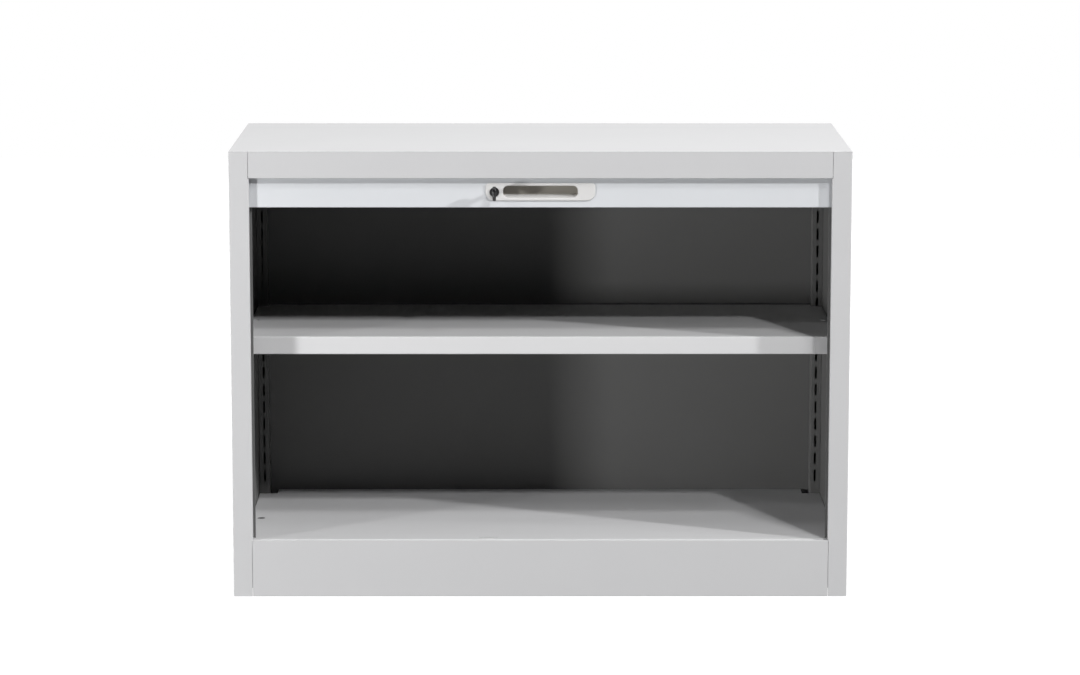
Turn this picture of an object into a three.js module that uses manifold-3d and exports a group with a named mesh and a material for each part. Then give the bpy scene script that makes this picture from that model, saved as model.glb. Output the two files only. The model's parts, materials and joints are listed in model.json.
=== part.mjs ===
// Roller shutter sideboard: a low steel cabinet whose slatted shutter runs in side tracks, up the
// front, over the top and down behind an inner back, so that it is out of the way when open.
// Millimetres, +Z up, the front faces -Y. The shutter is modelled fully open.
// The origin lies on the floor, under the middle of the whole outline, key included.

import * as THREE from "three";
import * as BufferGeometryUtils from "three/addons/utils/BufferGeometryUtils.js";
import Module from "manifold-3d";

const wasm = await Module();
wasm.setup();

// Driving sizes of the cabinet

const width = 1000;
const depth = 430;
const height = 730;
const plinth_height = 93.5;
const header_height = 43.5;
const jamb_width = 32;
const side_wall = 15.7;

// Sheet, fits and cuts

const sheet = 1;
const seat_gap = 0.3;
const seam_gap = 0.4;
const running_play = 0.1;
const overrun = 6;
const arc_steps = 8;
const round_steps = 24;

// Shutter, its tracks and its run

const curtain_thickness = 7;
const track_play = 1.25;
const track_wall = 1.3;
const track_setback = 10.45;
const slider_play = 0.7;
const bend_radius = 26;
const top_clearance = 6.4;
const rail_height = 50;
const rail_thickness = 9;
const rail_top_gap = 2;

// Places that many pieces share: x from the middle, y from the front plane, z from the floor

const half_width = width / 2;
const liner_x = half_width - side_wall;
const bay_x = liner_x - seat_gap;
const opening_x = half_width - jamb_width;
const skin_x = half_width - sheet;
const groove = curtain_thickness + 2 * track_play;
const track_half = groove / 2 + track_wall;
const front_run_y = track_setback + groove / 2;
const rear_run_y = depth - 2 * (sheet + seat_gap) - track_half;
const top_run_z = height - sheet - top_clearance - track_half;
const front_bend_y = front_run_y + bend_radius;
const rear_bend_y = rear_run_y - bend_radius;
const bend_z = top_run_z - bend_radius;
const inner_back_y = rear_run_y - track_half - seat_gap - sheet;
const header_bottom = height - header_height;
const panel_top = height - sheet - seat_gap;
const slider_x = bay_x - track_wall - slider_play;
const rail_top = bend_z - rail_top_gap;
const rail_bottom = rail_top - rail_height;
const rail_z = (rail_top + rail_bottom) / 2;
const rail_front = front_run_y - rail_thickness / 2;
const rail_back = front_run_y + rail_thickness / 2;

// Finishes

const finish = (color, roughness, metalness) =>
  new THREE.MeshStandardMaterial({ color, roughness, metalness });
const paint = () => finish("#c9c9c8", 0.55, 0.1);
const shutter_plastic = () => finish("#d5d9df", 0.5, 0);
const handle_plastic = () => finish("#dcdad5", 0.45, 0);
const track_plastic = () => finish("#b9bbbd", 0.6, 0);
const black_plastic = () => finish("#1a1a1b", 0.4, 0);
const zinc = () => finish("#a9acb0", 0.4, 0.9);

// Solids: closed geometries, joined and cut. Their corners lie on a fine grid, so that faces that
// share a place have exactly the same one.

const grid_steps = 1024;

const solid_of = (geometry) => {
  geometry.deleteAttribute("normal");
  geometry.deleteAttribute("uv");
  const corners = geometry.attributes.position.array;
  corners.forEach((place, i) => {
    corners[i] = Math.round(place * grid_steps) / grid_steps;
  });
  const merged = BufferGeometryUtils.mergeVertices(geometry);
  const triVerts = new Uint32Array(merged.index.array);
  const vertProperties = new Float32Array(merged.attributes.position.array);
  return new wasm.Manifold(new wasm.Mesh({ numProp: 3, vertProperties, triVerts }));
};

const join = (...solids) => solids.reduce((sum, solid) => sum.add(solid));

const cut = (solid, ...tools) => tools.reduce((rest, tool) => rest.subtract(tool), solid);

const slab = ([x0, x1], [y0, y1], [z0, z1]) => {
  const box = new THREE.BoxGeometry(Math.abs(x1 - x0), Math.abs(y1 - y0), Math.abs(z1 - z0));
  box.translate((x0 + x1) / 2, (y0 + y1) / 2, (z0 + z1) / 2);
  return solid_of(box);
};

const run = (shape, length) =>
  new THREE.ExtrudeGeometry(shape, {
    depth: Math.abs(length),
    bevelEnabled: false,
    curveSegments: arc_steps,
  });

// An outline in Y and Z, run along X
const run_x = (shape, [x0, x1]) => {
  const geometry = run(shape, x1 - x0);
  geometry.rotateX(Math.PI / 2);
  geometry.rotateZ(Math.PI / 2);
  geometry.translate(Math.min(x0, x1), 0, 0);
  return solid_of(geometry);
};

// An outline in X and Z, run along Y
const run_y = (shape, [y0, y1]) => {
  const geometry = run(shape, y1 - y0);
  geometry.rotateX(Math.PI / 2);
  geometry.translate(0, y1, 0);
  return solid_of(geometry);
};

// An outline in X and Y, run along Z
const run_z = (shape, [z0, z1]) => solid_of(run(shape, z1 - z0).translate(0, 0, z0));

const rod = (radius, [a, b]) => {
  const geometry = new THREE.CylinderGeometry(radius, radius, Math.abs(b - a), round_steps);
  geometry.translate(0, (a + b) / 2, 0);
  return geometry;
};

const rod_y = (radius, x, y_span, z) => solid_of(rod(radius, y_span).translate(x, 0, z));

const rod_z = (radius, x, y, z_span) =>
  solid_of(rod(radius, z_span).rotateX(Math.PI / 2).translate(x, y, 0));

const outline = (points) => new THREE.Shape(points.map(([a, b]) => new THREE.Vector2(a, b)));

// A rectangle with one radius at its top corners and another at its bottom corners
const rounded = ([a0, a1], [b0, b1], top_radius, bottom_radius) => {
  const shape = new THREE.Shape();
  const quarter = Math.PI / 2;
  shape.absarc(a1 - bottom_radius, b0 + bottom_radius, bottom_radius, -quarter, 0);
  shape.absarc(a1 - top_radius, b1 - top_radius, top_radius, 0, quarter);
  shape.absarc(a0 + top_radius, b1 - top_radius, top_radius, quarter, 2 * quarter);
  shape.absarc(a0 + bottom_radius, b0 + bottom_radius, bottom_radius, 2 * quarter, 3 * quarter);
  return shape;
};

// Part of a ring between two radii
const ring_part = ([a, b], [inner, outer], [from, to]) => {
  const shape = new THREE.Shape();
  shape.absarc(a, b, outer, from, to);
  shape.absarc(a, b, inner, to, from, true);
  return shape;
};

const both = (x) => [-x, x];
const grown = ([a, b], by) => [a - by, b + by];
const shifted = ([a, b], by) => [a + by, b + by];
const mirrored = (sign, [x0, x1]) => [sign * x0, sign * x1];
const mirrored_outline = (sign, points) => outline(points.map(([x, b]) => [sign * x, b]));
const sides = [["left", -1], ["right", 1]];

const cabinet = new THREE.Group();

const piece = (name, material, solid) => {
  const { vertProperties, triVerts } = solid.getMesh();
  const geometry = new THREE.BufferGeometry();
  geometry.setAttribute("position", new THREE.BufferAttribute(vertProperties, 3));
  geometry.setIndex(new THREE.BufferAttribute(triVerts, 1));
  geometry.computeVertexNormals();
  const mesh = new THREE.Mesh(geometry, material);
  mesh.name = name;
  cabinet.add(mesh);
};

// Side walls: an outer panel folded round the front into the jamb and round the back, and a liner
// inside it. Header and plinth sit beside the jamb, so it is wider in the opening, with a lip.

const jamb_step = 1.6;
const jamb_lip = 7;
const rear_return = 30;
const liner_lift = 10;
const behind_front = [sheet + seat_gap, 2 * sheet + seat_gap];
const before_back = [depth - 2 * sheet - seat_gap, depth - sheet - seat_gap];
const liner_back = before_back[0] - seat_gap;
const flange_x = skin_x - seat_gap;

for (const [side, sign] of sides) {
  const folded_panel = mirrored_outline(sign, [
    [opening_x, 0],
    [half_width, 0],
    [half_width, depth],
    [skin_x, depth],
    [skin_x, before_back[1]],
    [half_width - rear_return, before_back[1]],
    [half_width - rear_return, before_back[0]],
    [skin_x, before_back[0]],
    [skin_x, sheet],
    [opening_x + sheet, sheet],
    [opening_x + sheet, jamb_lip],
    [opening_x, jamb_lip],
  ]);
  const step_x = mirrored(sign, [opening_x - overrun, opening_x + jamb_step]);
  const beyond_lip = [-overrun, jamb_lip + overrun];
  const outer = cut(
    run_z(folded_panel, [0, panel_top]),
    slab(step_x, beyond_lip, [-overrun, plinth_height + seat_gap]),
    slab(step_x, beyond_lip, [header_bottom - seat_gap, height + overrun]),
  );
  piece(`side_panel_${side}`, paint(), outer);

  const folded_liner = mirrored_outline(sign, [
    [liner_x, behind_front[0]],
    [flange_x, behind_front[0]],
    [flange_x, behind_front[1]],
    [liner_x + sheet, behind_front[1]],
    [liner_x + sheet, liner_back - sheet],
    [flange_x, liner_back - sheet],
    [flange_x, liner_back],
    [liner_x, liner_back],
  ]);
  piece(`side_liner_${side}`, paint(), run_z(folded_liner, [liner_lift, panel_top]));
}

// Top panel: one skin over the whole outline, with a rim turned down inside the walls

const rim_drop = 14;
const rim_z = [height - sheet - rim_drop, height - sheet / 2];
const side_rim_y = [behind_front[1] + seat_gap, liner_back - sheet - seat_gap];
const top_panel = join(
  slab(both(half_width), [0, depth], [height - sheet, height]),
  slab(both(bay_x), behind_front, rim_z),
  slab(both(half_width - rear_return - seat_gap), before_back, rim_z),
  slab([-flange_x, sheet - flange_x], side_rim_y, rim_z),
  slab([flange_x - sheet, flange_x], side_rim_y, rim_z),
);
piece("top_panel", paint(), top_panel);

// Header and plinth: fronts with folded edges, and tabs that reach behind the jambs

const front_x = opening_x + jamb_step - seam_gap;
const tab_root = 10;
const tab_root_x = opening_x - tab_root;
const tab_margin = 4;
const header_flange = 8;
const plinth_hem = 9.5;
const plinth_flange = 12;
const hem_thickness = 2.2;

const tabs = (z_span) => {
  const tab = (sign) =>
    run_z(
      mirrored_outline(sign, [
        [tab_root_x, sheet / 2],
        [front_x - seam_gap, sheet / 2],
        [front_x - seam_gap, behind_front[0]],
        [bay_x, behind_front[0]],
        [bay_x, behind_front[1]],
        [tab_root_x, behind_front[1]],
      ]),
      z_span,
    );
  return join(tab(-1), tab(1));
};

const header_section = outline([
  [0, header_bottom],
  [header_flange, header_bottom],
  [header_flange, header_bottom + header_flange],
  [header_flange - sheet, header_bottom + header_flange],
  [header_flange - sheet, header_bottom + sheet],
  [sheet, header_bottom + sheet],
  [sheet, panel_top],
  [0, panel_top],
]);
const header_panel = join(
  run_x(header_section, both(front_x)),
  tabs([header_bottom + tab_margin, rim_z[0] - tab_margin]),
);
piece("header_panel", paint(), header_panel);

const plinth_section = outline([
  [0, 0],
  [plinth_flange, 0],
  [plinth_flange, plinth_flange],
  [plinth_flange - sheet, plinth_flange],
  [plinth_flange - sheet, sheet],
  [sheet, sheet],
  [sheet, plinth_height - plinth_hem],
  [hem_thickness, plinth_height - plinth_hem],
  [hem_thickness, plinth_height],
  [0, plinth_height],
]);
const plinth_front = join(
  run_x(plinth_section, both(front_x)),
  tabs([liner_lift + tab_margin, plinth_height - plinth_hem - tab_margin]),
);
piece("plinth_front", paint(), plinth_front);

// Rear plinth: a channel between the liners, low at the back

const deck_skirt = 33.5;
const deck_under = plinth_height - deck_skirt;
const plinth_rear_depth = 11;
const plinth_rear_height = deck_under;
const plinth_rear_y = liner_back - plinth_rear_depth;
const plinth_rear_section = outline([
  [plinth_rear_y, 0],
  [liner_back, 0],
  [liner_back, plinth_rear_height],
  [plinth_rear_y, plinth_rear_height],
  [plinth_rear_y, plinth_rear_height - sheet],
  [liner_back - sheet, plinth_rear_height - sheet],
  [liner_back - sheet, sheet],
  [plinth_rear_y, sheet],
]);
const plinth_rear = run_x(plinth_rear_section, both(bay_x));
piece("plinth_rear", paint(), plinth_rear);

// Outer back, inner back and ceiling: the shutter runs between them

const ceiling_drop = 42;
const ceiling_rim = 11;
const ceiling_play = 3;
const ceiling_z = height - ceiling_drop;
const ceiling_y = [front_run_y + track_half + ceiling_play, inner_back_y + sheet];
const track_inner_flange = 19.2;
const track_outer_flange = 15.4;
const track_inner_x = bay_x - track_inner_flange;
const track_outer_x = bay_x - track_outer_flange;

const back_panel = slab(both(flange_x), [depth - sheet, depth], [0, panel_top]);
piece("back_panel", paint(), back_panel);

const inner_back_panel = slab(
  both(bay_x),
  [inner_back_y, inner_back_y + sheet],
  [deck_under, ceiling_z - seat_gap],
);
piece("inner_back_panel", paint(), inner_back_panel);

const top_liner = join(
  slab(both(bay_x), ceiling_y, [ceiling_z, ceiling_z + sheet]),
  slab(
    both(track_inner_x - seat_gap),
    [ceiling_y[0] + seat_gap, ceiling_y[0] + seat_gap + sheet],
    [ceiling_z + sheet / 2, ceiling_z + sheet + ceiling_rim],
  ),
);
piece("top_liner", paint(), top_liner);

// Slotted uprights: channels that carry the shelf clips, at the front behind the tracks and at the
// back in notches of the deck

const upright_width = 17.5;
const front_upright_depth = 13.7;
const rear_upright_depth = 35.5;
const upright_sheet = 1.2;
const upright_top = ceiling_z - seat_gap;
const slot_inset = 6.5;
const slot_width = 3.7;
const slot_length = 20;
const slot_step = 30;
const slot_rise = 21.5;
const notch_margin = 13.5;
const upright_x = [bay_x - upright_width, bay_x];
const slot_x = [upright_x[0] + slot_inset, upright_x[0] + slot_inset + slot_width];
const slot_start = plinth_height + slot_rise;
const slot_count = Math.floor((upright_top - slot_start) / slot_step);
const front_upright_start = front_run_y + track_half + seat_gap;
const front_upright_y = [front_upright_start, front_upright_start + front_upright_depth];
const rear_upright_end = inner_back_y - seat_gap;
const rear_upright_y = [rear_upright_end - rear_upright_depth, rear_upright_end];
const deck_notch_x = upright_x[0] - notch_margin;
const deck_notch_y = rear_upright_y[0] - seat_gap - sheet;

// A channel from its slotted web back to the free ends of its two flanges
const upright = (sign, web_y, ends_y, bottom) => {
  const inside_y = web_y + Math.sign(ends_y - web_y) * upright_sheet;
  const section = mirrored_outline(sign, [
    [upright_x[0], web_y],
    [upright_x[1], web_y],
    [upright_x[1], ends_y],
    [upright_x[1] - upright_sheet, ends_y],
    [upright_x[1] - upright_sheet, inside_y],
    [upright_x[0] + upright_sheet, inside_y],
    [upright_x[0] + upright_sheet, ends_y],
    [upright_x[0], ends_y],
  ]);
  const slots = Array.from({ length: slot_count }, (_, k) => {
    const slot_bottom = slot_start + k * slot_step;
    return slab(
      mirrored(sign, slot_x),
      [web_y - overrun, web_y + overrun],
      [slot_bottom, slot_bottom + slot_length],
    );
  });
  return cut(run_z(section, [bottom, upright_top]), ...slots);
};

for (const [side, sign] of sides) {
  const front = upright(sign, front_upright_y[1], front_upright_y[0], plinth_height + seat_gap);
  const rear = upright(sign, rear_upright_y[0], rear_upright_y[1], liner_lift);
  piece(`slotted_upright_front_${side}`, zinc(), front);
  piece(`slotted_upright_rear_${side}`, zinc(), rear);
}

// Deck: the bottom of the compartment, with a skirt all round, rear notches for the uprights, a
// capped hole at the left and a slot that the lock's hook enters

const channel_width = 8;
const nose_y = hem_thickness + channel_width;
const deck_z = [plinth_height - sheet, plinth_height];
const deck_hole_inset = 17;
const deck_hole_setback = 175;
const deck_hole_radius = 7;
const lock_x = -74;
const nut_thickness = 2;
const cam_gap = 0.5;
const cam_thickness = 2.5;
const strike_play = 0.8;
const strike_reach = 27;
const strike_past = 5;
const deck_hole_x = deck_hole_inset - bay_x;
const deck_hole_y = deck_hole_setback;
const nut_y = [rail_back + seat_gap, rail_back + seat_gap + nut_thickness];
const cam_y = [nut_y[1] + cam_gap, nut_y[1] + cam_gap + cam_thickness];
const strike_slot_x = [lock_x - strike_reach, lock_x + strike_past];
const strike_slot_y = [cam_y[0] - strike_play, cam_y[1] + strike_play];
const deck_rear = inner_back_y - seat_gap;
const beyond_deck = [plinth_height - overrun, plinth_height + overrun];

const notch_y = [deck_notch_y, deck_rear + overrun];
const notch_z = [deck_under - overrun, plinth_height + overrun];
const deck = cut(
  slab(both(bay_x), [nose_y, deck_rear], [deck_under, plinth_height]),
  slab(both(bay_x - sheet), [nose_y + sheet, deck_rear - sheet], [notch_z[0], deck_z[0]]),
  slab([-bay_x - overrun, -deck_notch_x], notch_y, notch_z),
  slab([deck_notch_x, bay_x + overrun], notch_y, notch_z),
  rod_z(deck_hole_radius, deck_hole_x, deck_hole_y, beyond_deck),
  slab(strike_slot_x, strike_slot_y, beyond_deck),
);
piece("deck", paint(), deck);

const plug_collar = 9;
const plug_collar_thickness = 1.5;
const plug_inset = 0.2;
const plug_top = plinth_height - plug_inset;
const plug_collar_top = deck_z[0] - seat_gap;
const plug_bottom = plug_collar_top - plug_collar_thickness;
const deck_plug = join(
  rod_z(
    deck_hole_radius - seat_gap,
    deck_hole_x,
    deck_hole_y,
    [(plug_bottom + plug_collar_top) / 2, plug_top],
  ),
  rod_z(plug_collar, deck_hole_x, deck_hole_y, [plug_bottom, plug_collar_top]),
);
piece("deck_plug", black_plastic(), deck_plug);

const strike_margin = 13;
const strike_z = [deck_z[0] - seat_gap - sheet, deck_z[0] - seat_gap];
const strike_x = [strike_slot_x[0] - strike_margin, strike_slot_x[1] + strike_margin];
const strike_y = [nose_y + sheet + seat_gap, strike_slot_y[1] + strike_margin];
const lock_strike = cut(
  slab(strike_x, strike_y, strike_z),
  slab(strike_slot_x, strike_slot_y, beyond_deck),
);
piece("lock_strike", zinc(), lock_strike);

// Tracks: grooved rails for the ends of the slats, in five lengths on each side

const rear_track_length = 190;
const bend_relief = 1.6;
const bend_play = 0.6;
const front_track_z = [plinth_height + seat_gap, bend_z - seat_gap];
const rear_track_z = [bend_z - seat_gap - rear_track_length, bend_z - seat_gap];
const top_track_y = [front_bend_y + seat_gap, rear_bend_y - seat_gap];
const groove_inner = bend_radius - curtain_thickness / 2 - bend_relief - bend_play;
const groove_outer = bend_radius + groove / 2;
const web_x = bay_x - track_wall;

// The groove's section: across the run, the side away from the bend's middle is positive
const track_section = (sign) => [
  [sign * track_inner_x, -track_half],
  [sign * bay_x, -track_half],
  [sign * bay_x, track_half],
  [sign * track_outer_x, track_half],
  [sign * track_outer_x, groove / 2],
  [sign * web_x, groove / 2],
  [sign * web_x, -groove / 2],
  [sign * track_inner_x, -groove / 2],
];

const placed_section = (sign, place, turn) =>
  outline(track_section(sign).map(([x, across]) => [x, place + turn * across]));

// A quarter of the groove round a bend, cut from a solid quarter
const corner_track = (sign, centre_y, [from, to]) => {
  const past = (to - from) / arc_steps;
  const quarter = (x_span, radii, turn) =>
    run_x(ring_part([centre_y, bend_z], radii, turn), mirrored(sign, x_span));
  return cut(
    quarter([track_inner_x, bay_x], [groove_inner - track_wall, groove_outer + track_wall], [from, to]),
    quarter([track_inner_x - overrun, web_x], [groove_inner, groove_outer], [from - past, to + past]),
    quarter(
      [track_inner_x - overrun, track_outer_x],
      [bend_radius, groove_outer + overrun],
      [from - past, to + past],
    ),
  );
};

for (const [side, sign] of sides) {
  const front_track = run_z(placed_section(sign, front_run_y, -1), front_track_z);
  const top_track = run_y(placed_section(sign, top_run_z, 1), top_track_y);
  const rear_track = run_z(placed_section(sign, rear_run_y, 1), rear_track_z);
  const front_corner = corner_track(sign, front_bend_y, [Math.PI / 2, Math.PI]);
  const rear_corner = corner_track(sign, rear_bend_y, [0, Math.PI / 2]);
  piece(`front_track_${side}`, track_plastic(), front_track);
  piece(`front_corner_track_${side}`, track_plastic(), front_corner);
  piece(`top_track_${side}`, track_plastic(), top_track);
  piece(`rear_corner_track_${side}`, track_plastic(), rear_corner);
  piece(`rear_track_${side}`, track_plastic(), rear_track);
}

// Shutter curtain: one run of slats joined by thin hinges, from the end rail over to the back

const slat_pitch = 18;
const slat_count = 32;
const hinge_half = 0.6;
const slat_gap_outer = 0.6;
const slat_gap_inner = 1.8;
const slat_half = curtain_thickness / 2;

// A place on the run and its outward direction, by the distance from the end rail
const on_run = (distance) => {
  const front_straight = rail_top_gap - seat_gap;
  const quarter_turn = (Math.PI / 2) * bend_radius;
  const top_straight = rear_bend_y - front_bend_y;
  const place = (y, z, out_y, out_z) => ({
    at: new THREE.Vector2(y, z),
    out: new THREE.Vector2(out_y, out_z),
  });
  const round = (centre_y, angle) => {
    const out_y = Math.cos(angle);
    const out_z = Math.sin(angle);
    return place(centre_y + bend_radius * out_y, bend_z + bend_radius * out_z, out_y, out_z);
  };
  let left = distance;
  if (left <= front_straight) {
    return place(front_run_y, bend_z - front_straight + left, -1, 0);
  }
  left -= front_straight;
  if (left <= quarter_turn) {
    return round(front_bend_y, Math.PI - left / bend_radius);
  }
  left -= quarter_turn;
  if (left <= top_straight) {
    return place(front_bend_y + left, top_run_z, 0, 1);
  }
  left -= top_straight;
  if (left <= quarter_turn) {
    return round(rear_bend_y, Math.PI / 2 - left / bend_radius);
  }
  return place(rear_run_y, bend_z - (left - quarter_turn), 1, 0);
};

const curtain_outline = () => {
  const outside = [];
  const inside = [];
  for (let k = 0; k < slat_count; k += 1) {
    const start = on_run(k * slat_pitch).at;
    const end = on_run((k + 1) * slat_pitch).at;
    const along = end.clone().sub(start).normalize();
    const out = new THREE.Vector2(-along.y, along.x);
    const point = (from, step, lift) =>
      from.clone().addScaledVector(along, step).addScaledVector(out, lift).toArray();
    outside.push(
      point(start, slat_gap_outer, hinge_half),
      point(start, slat_gap_outer, slat_half),
      point(end, -slat_gap_outer, slat_half),
      point(end, -slat_gap_outer, hinge_half),
    );
    inside.push(
      point(start, slat_gap_inner, -hinge_half),
      point(start, slat_gap_inner, -slat_half),
      point(end, -slat_gap_inner, -slat_half),
      point(end, -slat_gap_inner, -hinge_half),
    );
  }
  return outline([...inside, ...outside.reverse()]);
};
piece("shutter_curtain", shutter_plastic(), run_x(curtain_outline(), both(slider_x)));

// End rail: a hollow section with an opening for the handle's cup and a hole for the lock

const rail_wall = 1.2;
const rail_end_gap = 4;
const rail_x = slider_x - rail_end_gap;
const cup_length = 120.5;
const cup_height = 19.1;
const cup_rise = 0.7;
const cup_radius = 7;
const cup_wall = 1.5;
const cup_x = both(cup_length / 2);
const cup_z = shifted(both(cup_height / 2), rail_z + cup_rise);
const cup_outline = (by) => {
  const radius = cup_radius + by;
  return rounded(grown(cup_x, by), grown(cup_z, by), radius, radius);
};
const through_rail = [rail_front - overrun, rail_back + overrun];
const lock_body_radius = 7;

const end_rail = cut(
  slab(both(rail_x), [rail_front, rail_back], [rail_bottom, rail_top]),
  slab(
    both(rail_x + overrun),
    [rail_front + rail_wall, rail_back - rail_wall],
    [rail_bottom + rail_wall, rail_top - rail_wall],
  ),
  run_y(cup_outline(cup_wall + seat_gap), through_rail),
  rod_y(lock_body_radius + seat_gap, lock_x, through_rail, rail_z),
);
piece("end_rail", shutter_plastic(), end_rail);

const cap_plug_length = 12;
const cap_plug_gap = rail_wall + seat_gap;
for (const [side, sign] of sides) {
  const cap = join(
    slab(
      mirrored(sign, [rail_x + seat_gap, slider_x]),
      [front_run_y - slat_half, front_run_y + slat_half],
      [rail_bottom, rail_top],
    ),
    slab(
      mirrored(sign, [rail_x - cap_plug_length, rail_x + rail_end_gap / 2]),
      [rail_front + cap_plug_gap, rail_back - cap_plug_gap],
      [rail_bottom + cap_plug_gap, rail_top - cap_plug_gap],
    ),
  );
  piece(`end_rail_cap_${side}`, black_plastic(), cap);
}

// Handle: a plate on the rail with a moulded grip cup, whose floor runs up to its back in a curve

const plate_length = 176.5;
const plate_height = 28.5;
const plate_rise = 0.2;
const plate_top_radius = 6;
const plate_bottom_radius = 14;
const plate_thickness = 2;
const cup_depth = 15.3;
const floor_curve = 5;
const plate_x = both(plate_length / 2);
const plate_z = shifted(both(plate_height / 2), rail_z + plate_rise);
const plate_y = [rail_front - seat_gap - plate_thickness, rail_front - seat_gap];
const cup_back = plate_y[1] + cup_depth;
const curve_shape = new THREE.Shape();
curve_shape.moveTo(cup_back + cup_wall / 2, cup_z[0] - cup_wall / 2);
curve_shape.lineTo(cup_back + cup_wall / 2, cup_z[0] + floor_curve);
curve_shape.lineTo(cup_back, cup_z[0] + floor_curve);
curve_shape.absarc(
  cup_back - floor_curve,
  cup_z[0] + floor_curve,
  floor_curve,
  0,
  -Math.PI / 2,
  true,
);
curve_shape.lineTo(cup_back - floor_curve, cup_z[0] - cup_wall / 2);

const handle_shell = join(
  cut(
    join(
      run_y(rounded(plate_x, plate_z, plate_top_radius, plate_bottom_radius), plate_y),
      run_y(cup_outline(cup_wall), [plate_y[0] + plate_thickness / 2, cup_back + cup_wall]),
    ),
    run_y(cup_outline(0), [plate_y[0] - overrun, cup_back]),
    rod_y(lock_body_radius + seat_gap, lock_x, grown(plate_y, overrun), rail_z),
  ),
  run_x(curve_shape, grown(cup_x, -cup_radius / 2)),
);
piece("handle_shell", handle_plastic(), handle_shell);

// Lock: a housing through plate and rail with a nut behind, the cylinder with its cam, and the key

const lock_flange_radius = 7.8;
const lock_flange_thickness = 1.5;
const cylinder_radius = 5.5;
const face_inset = 0.4;
const nut_radius = 10;
const lock_flange_y = [plate_y[0] - seat_gap - lock_flange_thickness, plate_y[0] - seat_gap];
const lock_body_y = [lock_flange_y[0], cam_y[0] - seat_gap];
const bore_radius = cylinder_radius + running_play;
const beyond_lock = grown(lock_body_y, overrun);

const lock_housing = cut(
  join(
    rod_y(lock_flange_radius, lock_x, lock_flange_y, rail_z),
    rod_y(
      lock_body_radius,
      lock_x,
      [(lock_flange_y[0] + lock_flange_y[1]) / 2, lock_body_y[1]],
      rail_z,
    ),
  ),
  rod_y(bore_radius, lock_x, beyond_lock, rail_z),
);
piece("lock_housing", black_plastic(), lock_housing);

const nut_sides = 6;
const nut = new THREE.CylinderGeometry(nut_radius, nut_radius, nut_thickness, nut_sides);
nut.translate(lock_x, (nut_y[0] + nut_y[1]) / 2, rail_z);
const lock_nut = cut(
  solid_of(nut),
  rod_y(lock_body_radius + seat_gap, lock_x, grown(nut_y, overrun), rail_z),
);
piece("lock_nut", zinc(), lock_nut);

const keyway_width = 2.2;
const keyway_height = 7;
const keyway_depth = 14;
const cylinder_y = [lock_flange_y[0] + face_inset, cam_y[0] - seat_gap];
const keyway_y = [cylinder_y[0] - overrun, cylinder_y[0] + keyway_depth];
const keyway_x = [lock_x - keyway_width / 2, lock_x + keyway_width / 2];
const keyway_z = [rail_z - keyway_height / 2, rail_z + keyway_height / 2];
const cam_stud_radius = 3;
const cam_screw_radius = 4.5;
const cam_screw_thickness = 2;
const lock_cylinder = cut(
  join(
    rod_y(cylinder_radius, lock_x, cylinder_y, rail_z),
    rod_y(cam_stud_radius, lock_x, [cylinder_y[1] - sheet, cam_y[1]], rail_z),
  ),
  slab(keyway_x, keyway_y, keyway_z),
);
piece("lock_cylinder", zinc(), lock_cylinder);

const cam_arm_half = 4.5;
const hook_inner = 31.5;
const hook_outer = 37;
const hook_turn = 0.35;
const cam_eye_radius = 8;
const cam_eye = cam_stud_radius + seat_gap;
const edge_angle = (radius) => Math.asin(cam_arm_half / radius);
const cam_outline = new THREE.Shape();
cam_outline.absarc(
  lock_x,
  rail_z,
  cam_eye_radius,
  Math.PI + edge_angle(cam_eye_radius),
  3 * Math.PI - edge_angle(cam_eye_radius),
);
cam_outline.absarc(
  lock_x,
  rail_z,
  hook_outer,
  Math.PI - edge_angle(hook_outer),
  Math.PI + hook_turn,
);
cam_outline.absarc(
  lock_x,
  rail_z,
  hook_inner,
  Math.PI + hook_turn,
  Math.PI + edge_angle(hook_inner),
  true,
);
const lock_cam = cut(
  run_y(cam_outline, cam_y),
  rod_y(cam_eye, lock_x, grown(cam_y, overrun), rail_z),
);
piece("lock_cam", zinc(), lock_cam);

const cam_screw_y = [cam_y[1] + seat_gap, cam_y[1] + seat_gap + cam_screw_thickness];
piece("cam_screw", zinc(), rod_y(cam_screw_radius, lock_x, cam_screw_y, rail_z));

const blade_play = 0.1;
const blade_inset = 12.5;
const key_reach = 26;
const key_neck = 8;
const bow_half = 2.75;
const bow_height = 23;
const bow_radius = 8;
const bow_offset = 0.6;
const blade_socket = 10;
const bow_y = [-key_reach, -key_neck];
const blade_solid = slab(
  grown(keyway_x, -blade_play),
  [bow_y[1] - blade_socket, cylinder_y[0] + blade_inset],
  grown(keyway_z, -blade_play),
);
piece("key_blade", zinc(), blade_solid);

const bow_z = [rail_z + bow_offset - bow_height / 2, rail_z + bow_offset + bow_height / 2];
const key_bow = cut(
  run_x(
    rounded(bow_y, bow_z, bow_radius, bow_radius),
    [lock_x - bow_half, lock_x + bow_half],
  ),
  slab(
    grown(keyway_x, seat_gap),
    [bow_y[1] - blade_socket - seat_gap, bow_y[1] + overrun],
    grown(keyway_z, seat_gap),
  ),
);
piece("key_bow", black_plastic(), key_bow);

// Shelf: a tray turned down all round, with notches for the rear uprights and a stiffener under
// its middle. Its sides stand on four clips.

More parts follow.
